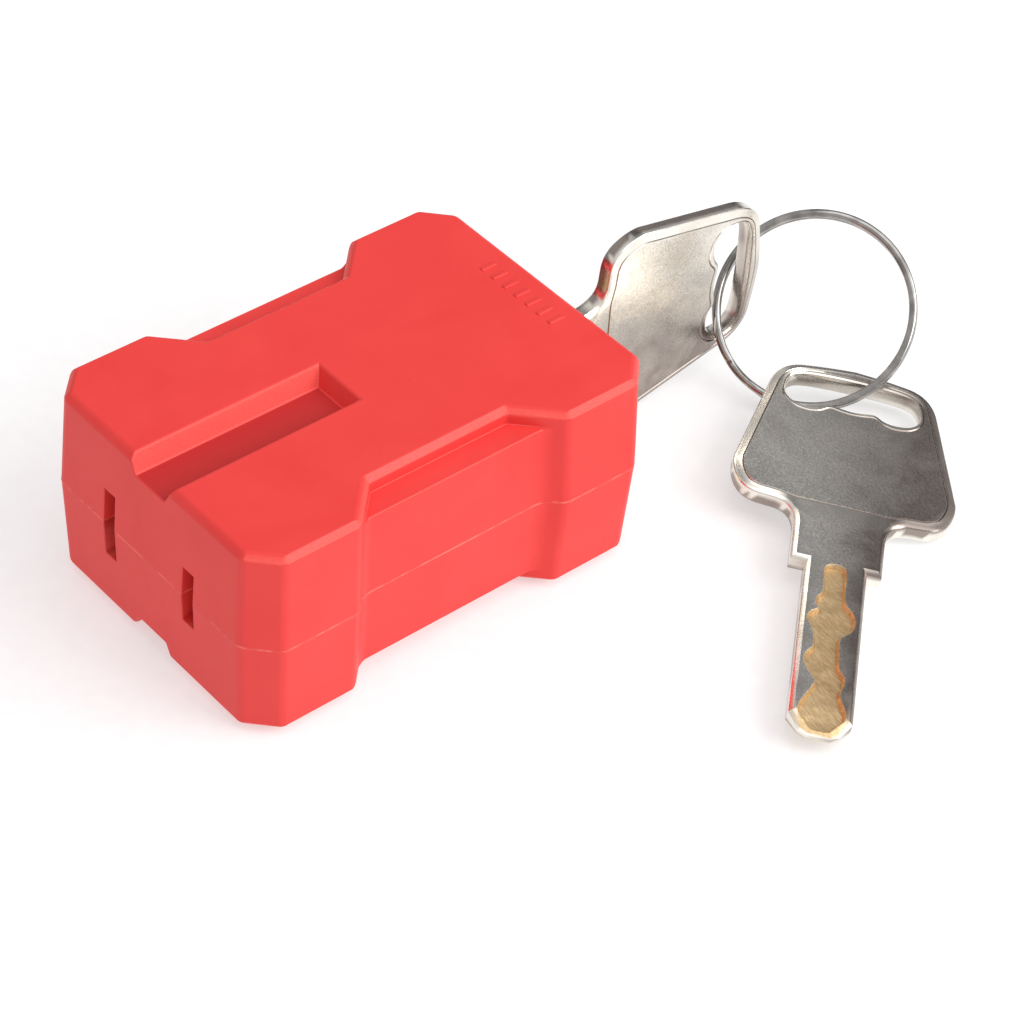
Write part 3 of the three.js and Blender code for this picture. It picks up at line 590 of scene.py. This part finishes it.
def key_mesh():
    """The whole key, its tip corners at x = 0, its width along Y and its thickness along Z."""
    relief = Relief()
    outline = key_outline()
    previous = relief.loop(outline, 0.0)
    for offset, blade_drop, bow_drop in EDGE_RINGS:
        def height(p, blade_drop=blade_drop, bow_drop=bow_drop):
            drop = blade_drop + (bow_drop - blade_drop) * bow(p.x)
            return KEY_HALF - drop * (1 - 0.85 * tip(p.x)) - TIP_DROP * tip(p.x)
        milled = milled_tip if offset > 0.2 else 0.0
        ring = relief.loop(inset(outline, offset), height, bare=milled)
        relief.strip(previous, ring)
        previous = ring

    rim_line = inset(outline, RIM_WIDTH)
    panel_start = PANEL_X + 0.25
    split = next(i for i in range(len(rim_line)) if rim_line[i - 1].x <= panel_start < rim_line[i].x)
    panel_plan = [p for p in rim_line[split:] + rim_line[:split] if p.x > panel_start]
    crossing = [Vector((PANEL_X, panel_plan[-1].y - 1.2)), Vector((PANEL_X, panel_plan[0].y + 1.2))]
    panel_plan += crossing
    panel_line = [relief.loop(inset(panel_plan, offset), KEY_HALF - drop, cast=cast, tarnish_and_shade=tarnish_and_shade)
                  for offset, drop, cast, tarnish_and_shade in PANEL_LINE]
    relief.strips(panel_line)

    track_plan = catmull(TRACK)
    track_edge = relief.loop(inset(track_plan, -0.05), surface, bare=milled_tip, cast=1.0)
    track_lip = relief.loop(track_plan, surface, bare=1.0)
    track_wall = relief.loop(inset(track_plan, 0.07), below_lip, bare=1.0)
    track_foot = relief.loop(inset(track_plan, 0.26), track_floor, bare=1.0)
    relief.strips([track_edge, track_lip, track_wall, track_foot])
    valley = []
    for x in range(-1, 21):
        depth = track_floor(Vector((x, 0))) - scallop(x)
        valley.append(relief.point(Vector((x, 0.15 * math.sin(1.3 * x))), depth, bare=1.0))
    relief.fill(track_foot, [], valley)

    flat = [relief.point(Vector((x, w)), surface(Vector((x, w))), cast=1.0)
            for x in (22.6, 24.8, 27.0) for w in (-3.8, -1.9, 0.0, 1.9, 3.8)]
    relief.fill(previous, [panel_line[0], track_edge], flat)

    slot_rim_plan, slot_plan = slot_loop(SLOT_RIM), slot_loop(SLOT_OPENING)
    slot_edge = relief.loop(inset(slot_rim_plan, -0.12), KEY_HALF - 0.05, cast=0.8)
    profile = [slot_edge, relief.loop(slot_rim_plan, KEY_HALF - 0.18, cast=0.4, tarnish_and_shade=LINE_TARNISH)]
    for share, drop in SLOT_LIP:
        plan = [a.lerp(b, share) for a, b in zip(slot_rim_plan, slot_plan)]
        profile.append(relief.loop(plan, KEY_HALF - drop))
    profile.append(relief.loop(slot_plan, 0.0))
    relief.fill(panel_line[-1], [slot_edge])
    relief.strips(profile)

    bm = relief.bm
    other = bmesh.ops.duplicate(bm, geom=bm.verts[:] + bm.edges[:] + bm.faces[:])
    turned = [e for e in other["geom"] if isinstance(e, bmesh.types.BMVert)]
    bmesh.ops.rotate(bm, matrix=Matrix.Rotation(math.pi, 3, "X"), cent=(0, 0, 0), verts=turned)
    bmesh.ops.remove_doubles(bm, verts=bm.verts, dist=0.0005)
    return bm


def key_piece(name, node_name, body, place):
    bm = key_mesh()
    bmesh.ops.transform(bm, matrix=place, verts=bm.verts)
    return finished(bm, name, body, "nickel_plate", [node_name], sharp_angle=24)


def inserted_place():
    """Upright in the lock, its length along +X and its width along Z."""
    tip_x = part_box("key_in_lock")[0].x / MM + KEY_TIP_OVERHANG
    return Matrix.Translation((tip_x, 0, AXIS_Z)) @ Matrix.Rotation(math.pi / 2, 4, "X")


SPARE_TIP = (19.6, -48.4, -9.65)        # from the lock axis, with the turns about Z, Y and X
SPARE_TURN = (41.7, -0.6, 6.87)


def spare_place():
    heading, pitch, roll = (math.radians(angle) for angle in SPARE_TURN)
    turn = Matrix.Rotation(heading, 4, "Z") @ Matrix.Rotation(pitch, 4, "Y") @ Matrix.Rotation(roll, 4, "X")
    return Matrix.Translation(Vector(SPARE_TIP) + Vector((0, 0, AXIS_Z))) @ turn


key_piece("inserted_key", "key_in_lock", "key", inserted_place())
key_piece("loose_key", "spare_key", "spare_key", spare_place())


# ------------------------------------------------------------------ split ring
RING_RADIUS = 10.6
RING_CENTRE = (57.6, -7.43, -3.33)     # from the lock axis
RING_HEADING, RING_DIP = 31.5, 48.8
WIRE_HALF = (0.45, 0.35)               # across and along the ring's axis
WIRE_PITCH = 0.82
WIRE_END, WIRE_STEP = 192, 24          # degrees round the ring
WIRE_SIDES = 16
WIRE_ROW_ANGLE = 3                     # degrees from one row of points to the next
WIRE_END_SIZE = 0.86                   # the cut ends are rubbed down a little
WIRE_SQUARENESS = 0.8                  # power that flattens the section's sides; 1 would be an ellipse


def flattened(value):
    return math.copysign(abs(value) ** WIRE_SQUARENESS, value)


def split_ring():
    """Two turns of wire with rounded flat sides; one turn steps over to the next beside the wire's ends."""
    heading, dip = math.radians(RING_HEADING), math.radians(RING_DIP)
    axis = Vector((math.cos(dip) * math.cos(heading), math.cos(dip) * math.sin(heading), -math.sin(dip)))
    turn = Vector((0, 0, -1)).rotation_difference(axis).to_matrix().to_4x4()
    place = Matrix.Translation(Vector(RING_CENTRE) + Vector((0, 0, AXIS_Z))) @ turn
    bm = bmesh.new()
    travel_end = 720 - WIRE_STEP
    steps = travel_end // WIRE_ROW_ANGLE
    rows = []
    for k in range(steps + 1):
        travel = travel_end * k / steps
        angle = math.radians(WIRE_END + travel)
        z = (smoothstep(360 - WIRE_STEP, 360, travel) - 0.5) * WIRE_PITCH
        end = min(travel, travel_end - travel)
        size = WIRE_END_SIZE if end == 0 else 1.0
        row = []
        for i in range(WIRE_SIDES):
            phase = 2 * math.pi * (i + 0.5) / WIRE_SIDES
            across = WIRE_HALF[0] * size * flattened(math.cos(phase))
            along = WIRE_HALF[1] * size * flattened(math.sin(phase))
            radius = RING_RADIUS + across
            row.append(bm.verts.new((radius * math.cos(angle), radius * math.sin(angle), z + along)))
        rows.append(row)
    for a, b in zip(rows, rows[1:]):
        for i in range(WIRE_SIDES):
            j = (i + 1) % WIRE_SIDES
            bm.faces.new((a[i], b[i], b[j], a[j]))
    bm.faces.new(rows[0])
    bm.faces.new(reversed(rows[-1]))
    bmesh.ops.recalc_face_normals(bm, faces=bm.faces)
    bmesh.ops.transform(bm, matrix=place, verts=bm.verts)
    return finished(bm, "split_ring_wire", "ring", "spring_steel", ["split_ring"], sharp_angle=40)


split_ring()


# ------------------------------------------------------------------ CAD nodes that stay
NODE_SLOTS = {s["node"]: s["material_slot"] for s in frame["record"]["subparts"]}


def dress_cad_nodes():
    """Gives each CAD node that stays its finish, and breaks its sharp edges with modifiers."""
    for name, piece in frame["nodes"].items():
        if piece.hide_render:
            continue
        piece.data.materials.clear()
        piece.data.materials.append(MATERIALS[NODE_SLOTS[name]])
        weld = piece.modifiers.new("Weld", "WELD")
        weld.merge_threshold = WELD_DISTANCE * MM
        if "spring" not in name:
            bevel = piece.modifiers.new("Bevel", "BEVEL")
            bevel.limit_method = "ANGLE"
            bevel.angle_limit = math.radians(35)
            bevel.width = 0.07 * MM
            bevel.segments = 2
        piece.data.shade_smooth()
        piece.modifiers.new("Weighted normals", "WEIGHTED_NORMAL")


dress_cad_nodes()


# ------------------------------------------------------------------ floor, light and camera
FLOOR_Z = -0.68               # the keys' bows reach a little below the block's base
FLOOR_SIZE = 4000.0
UNLIT_OVERHEAD = (0.50, 0.36, 0.79)     # directions of the room's two dark parts
UNLIT_BEHIND = (0.75, 0.66, 0.0)
LIGHT_TARGET = Vector((10.0, -5.0, 10.0))
LIGHT_DISTANCE = 700


def studio_floor():
    bm = bmesh.new()
    bmesh.ops.create_grid(bm, x_segments=8, y_segments=8, size=FLOOR_SIZE / 2)
    bmesh.ops.transform(bm, matrix=Matrix.Scale(MM, 4) @ Matrix.Translation((0, 0, FLOOR_Z)), verts=bm.verts)
    mesh = bpy.data.meshes.new("studio_floor")
    bm.to_mesh(mesh)
    bm.free()
    mesh.materials.append(floor_material())
    floor = bpy.data.objects.new("studio_floor", mesh)
    bpy.context.scene.collection.objects.link(floor)


def studio_world():
    """A pale room, brighter overhead, with the unlit part of the studio behind the block."""
    world = bpy.data.worlds.new("studio")
    world.use_nodes = True
    tree = world.node_tree
    direction = node(tree, "ShaderNodeTexCoord").outputs["Generated"]
    apart = node(tree, "ShaderNodeSeparateXYZ", {0: direction})
    height = spread(tree, apart.outputs["Z"], 0.1, 0.95)
    room = blend_colours(tree, height, (0.57, 0.57, 0.575, 1), (0.74, 0.74, 0.74, 1))
    unlit = node(tree, "ShaderNodeVectorMath", {0: direction, 1: UNLIT_OVERHEAD}, operation="DOT_PRODUCT")
    share = spread(tree, unlit.outputs["Value"], 0.915, 0.972)
    tone = blend_colours(tree, share, room, (0.20, 0.205, 0.22, 1))
    beyond = node(tree, "ShaderNodeVectorMath", {0: direction, 1: UNLIT_BEHIND}, operation="DOT_PRODUCT")
    low = arithmetic(tree, "MULTIPLY", spread(tree, beyond.outputs["Value"], 0.2, 0.6),
                     spread(tree, apart.outputs["Z"], 0.34, 0.22))
    tone = blend_colours(tree, low, tone, (0.06, 0.06, 0.065, 1))
    tree.links.new(tone, tree.nodes["Background"].inputs["Color"])
    tree.nodes["Background"].inputs["Strength"].default_value = 1.0
    bpy.context.scene.world = world


def area_light(name, azimuth, elevation, size, power):
    """A soft box that looks at the block from an azimuth and elevation in degrees."""
    data = bpy.data.lights.new(name, "AREA")
    data.shape = "RECTANGLE"
    data.size, data.size_y = size[0] * MM, size[1] * MM
    data.energy = power
    light = bpy.data.objects.new(name, data)
    a, e = math.radians(azimuth), math.radians(elevation)
    away = Vector((math.cos(a) * math.cos(e), math.sin(a) * math.cos(e), math.sin(e)))
    light.location = (LIGHT_TARGET + away * LIGHT_DISTANCE) * MM
    light.rotation_mode = "QUATERNION"
    light.rotation_quaternion = away.to_track_quat("Z", "Y")
    bpy.context.scene.collection.objects.link(light)


VIEW_AZIMUTH, VIEW_ELEVATION, VIEW_ROLL = 46.491, 42.21, 4.81
CAMERA_PLACE = (-160.78, -192.99, 233.42)
LENS, SENSOR_WIDTH = 118.33, 36


def camera():
    """The viewpoint: azimuth is the heading it looks along."""
    data = bpy.data.cameras.new("camera")
    data.lens = LENS
    data.sensor_width = SENSOR_WIDTH
    data.clip_start, data.clip_end = 0.01, 20
    a, e, roll = (math.radians(x) for x in (VIEW_AZIMUTH, VIEW_ELEVATION, VIEW_ROLL))
    forward = Vector((math.cos(e) * math.cos(a), math.cos(e) * math.sin(a), -math.sin(e)))
    right = Vector((math.sin(a), -math.cos(a), 0))
    up = right.cross(forward)
    x_axis = right * math.cos(roll) + up * math.sin(roll)
    y_axis = up * math.cos(roll) - right * math.sin(roll)
    place = Matrix((x_axis, y_axis, -forward)).transposed().to_4x4()
    place.translation = Vector(CAMERA_PLACE) * MM
    made = bpy.data.objects.new("camera", data)
    made.matrix_world = place
    bpy.context.scene.collection.objects.link(made)
    bpy.context.scene.camera = made


studio_floor()
studio_world()
area_light("overhead", -60, 75, (600, 600), 1.2)
area_light("side", -58, 35, (600, 450), 3.5)
camera()
bpy.context.scene.view_settings.view_transform = "Standard"
